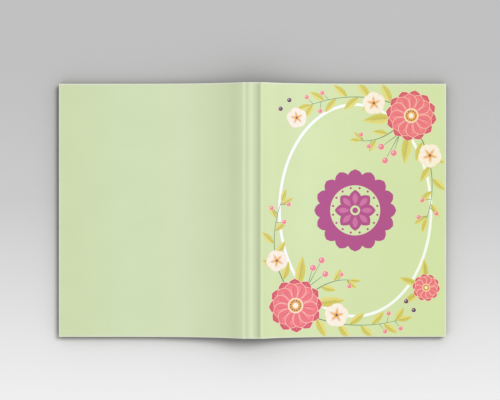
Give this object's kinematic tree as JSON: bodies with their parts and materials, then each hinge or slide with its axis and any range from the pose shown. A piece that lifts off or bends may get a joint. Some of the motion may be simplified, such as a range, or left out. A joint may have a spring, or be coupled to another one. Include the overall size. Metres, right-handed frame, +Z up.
{
  "type": "softcover notebook",
  "caption": "Softcover notebook with sewn sections, lying open face down with its spine raised and its covers up.",
  "frame": {"origin": "on the surface the notebook lies on, under the middle of the spine", "axes": "+X from the spine towards the front cover's fore-edge, +Y along the spine towards the head, +Z up, out of the covers"},
  "size_m": [0.3108, 0.2032, 0.0149],
  "materials": {
    "cover": "matt laminated printed card",
    "endpaper": "plain uncoated paper",
    "leaves": "plain uncoated writing paper",
    "lining": "open woven cotton",
    "adhesive": "set hot melt",
    "thread": "waxed linen thread"
  },
  "bodies": {
    "front_block_outer": {"front_section_2_outer": "leaves", "front_section_3_outer": "leaves", "front_section_4_outer": "leaves", "front_section_5_outer": "leaves"},
    "front_leaves_outer": {"front_section_1_outer": "leaves", "front_flyleaf_outer": "endpaper"},
    "front_cover_outer": {"front_cover_outer": "cover", "front_pastedown_outer": "endpaper"},
    "front_block_inner": {"front_section_2_inner": "leaves", "front_section_3_inner": "leaves", "front_section_4_inner": "leaves", "front_section_5_inner": "leaves"},
    "front_leaves_inner": {"front_section_1_inner": "leaves", "front_flyleaf_inner": "endpaper"},
    "front_cover_inner": {"front_cover_inner": "cover", "front_pastedown_inner": "endpaper"},
    "back_block_outer": {"back_section_2_outer": "leaves", "back_section_3_outer": "leaves", "back_section_4_outer": "leaves", "back_section_5_outer": "leaves"},
    "back_leaves_outer": {"back_section_1_outer": "leaves", "back_flyleaf_outer": "endpaper"},
    "back_cover_outer": {"back_cover_outer": "cover", "back_pastedown_outer": "endpaper"},
    "back_block_inner": {"back_section_2_inner": "leaves", "back_section_3_inner": "leaves", "back_section_4_inner": "leaves", "back_section_5_inner": "leaves"},
    "back_leaves_inner": {"back_section_1_inner": "leaves", "back_flyleaf_inner": "endpaper"},
    "back_cover_inner": {"back_cover_inner": "cover", "back_pastedown_inner": "endpaper"},
    "spine": {"spine_panel": "cover", "spine_lining": "lining", "spine_adhesive": "adhesive", "sewing_thread": "thread", "front_section_1_fold": "leaves", "front_section_2_fold": "leaves", "front_section_3_fold": "leaves", "front_section_4_fold": "leaves", "front_section_5_fold": "leaves", "back_section_1_fold": "leaves", "back_section_2_fold": "leaves", "back_section_3_fold": "leaves", "back_section_4_fold": "leaves", "back_section_5_fold": "leaves"}
  },
  "joints": [
    {"name": "front_block_bend", "type": "hinge", "parent": "front_block_outer", "child": "front_block_inner", "pos_m": [0.03474, 0, 0.00338], "axis": [0, -1, 0], "range_deg": [0, 15.41]},
    {"name": "notebook_close", "type": "hinge", "parent": "front_block_inner", "child": "spine", "pos_m": [0.0054, 0, 0.01444], "axis": [0, -1, 0], "range_deg": [0, 74], "deforming": ["front_section_1_fold", "front_section_2_fold", "front_section_3_fold", "front_section_4_fold", "front_section_5_fold"]},
    {"name": "back_fold", "type": "hinge", "parent": "spine", "child": "back_block_inner", "pos_m": [-0.0054, 0, 0.01444], "axis": [0, -1, 0], "range_deg": [0, 74], "deforming": ["back_section_1_fold", "back_section_2_fold", "back_section_3_fold", "back_section_4_fold", "back_section_5_fold"]},
    {"name": "back_block_bend", "type": "hinge", "parent": "back_block_inner", "child": "back_block_outer", "pos_m": [-0.03474, 0, 0.00338], "axis": [0, -1, 0], "range_deg": [0, 15.41]},
    {"name": "front_leaves_turn", "type": "hinge", "parent": "front_block_inner", "child": "front_leaves_inner", "pos_m": [0.0054, 0, 0.01444], "axis": [0, -1, 0], "range_deg": [0, 60]},
    {"name": "front_leaves_bend", "type": "hinge", "parent": "front_leaves_inner", "child": "front_leaves_outer", "pos_m": [0.03474, 0, 0.00338], "axis": [0, 1, 0], "range_deg": [0, 15.41]},
    {"name": "front_cover_open", "type": "hinge", "parent": "front_leaves_inner", "child": "front_cover_inner", "pos_m": [0.0054, 0, 0.01444], "axis": [0, -1, 0], "range_deg": [0, 145]},
    {"name": "front_cover_bend", "type": "hinge", "parent": "front_cover_inner", "child": "front_cover_outer", "pos_m": [0.03474, 0, 0.00338], "axis": [0, 1, 0], "range_deg": [0, 15.41]},
    {"name": "back_leaves_turn", "type": "hinge", "parent": "back_block_inner", "child": "back_leaves_inner", "pos_m": [-0.0054, 0, 0.01444], "axis": [0, 1, 0], "range_deg": [0, 60]},
    {"name": "back_leaves_bend", "type": "hinge", "parent": "back_leaves_inner", "child": "back_leaves_outer", "pos_m": [-0.03474, 0, 0.00338], "axis": [0, -1, 0], "range_deg": [0, 15.41]},
    {"name": "back_cover_open", "type": "hinge", "parent": "back_leaves_inner", "child": "back_cover_inner", "pos_m": [-0.0054, 0, 0.01444], "axis": [0, -1, 0], "range_deg": [-145, 0]},
    {"name": "back_cover_bend", "type": "hinge", "parent": "back_cover_inner", "child": "back_cover_outer", "pos_m": [-0.03474, 0, 0.00338], "axis": [0, -1, 0], "range_deg": [0, 15.41]}
  ],
  "couplings": [
    {"joint": "back_fold", "follows": "notebook_close", "ratio": 1},
    {"joint": "front_block_bend", "follows": "notebook_close", "ratio": 0.2081},
    {"joint": "front_leaves_bend", "follows": "notebook_close", "ratio": 0.2081},
    {"joint": "front_cover_bend", "follows": "notebook_close", "ratio": 0.2081},
    {"joint": "back_block_bend", "follows": "notebook_close", "ratio": 0.2081},
    {"joint": "back_leaves_bend", "follows": "notebook_close", "ratio": 0.2081},
    {"joint": "back_cover_bend", "follows": "notebook_close", "ratio": 0.2081}
  ]
}
